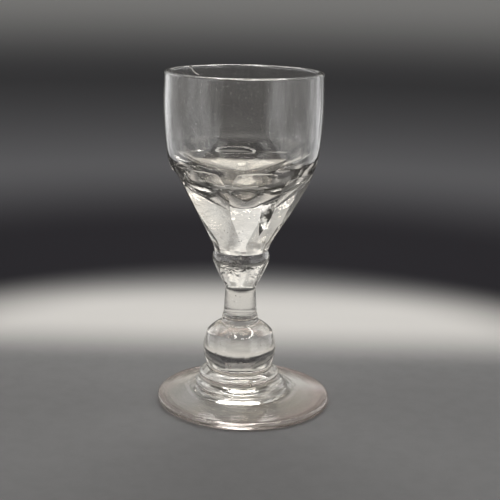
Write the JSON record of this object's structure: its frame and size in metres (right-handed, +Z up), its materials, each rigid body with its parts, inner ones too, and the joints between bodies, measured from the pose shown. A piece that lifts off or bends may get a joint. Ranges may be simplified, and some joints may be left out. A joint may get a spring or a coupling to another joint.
{
  "type": "port glass",
  "caption": "Small stemmed port glass in clear glass: flat-cut panelled bowl over a rounded knop, short shank, angular ball knop, stepped collar and a broad domed foot.",
  "frame": {"origin": "on the table plane, under the middle of the foot's outline", "axes": "+Z up along the stem, -Y toward the side that the picture shows, +X to its right"},
  "size_m": [0.0658, 0.0658, 0.125],
  "materials": {
    "clear_glass": "clear soda-lead glass, fire polished, cut panels wheel polished",
    "foot_glass": "clear glass with a faint warm tint at the edge and fine wear on the brim"
  },
  "bodies": {
    "root": {"foot": "foot_glass", "foot_collar": "clear_glass", "ball_knop": "clear_glass", "stem_shank": "clear_glass", "bowl_knop": "clear_glass", "bowl": "clear_glass"}
  },
  "joints": []
}
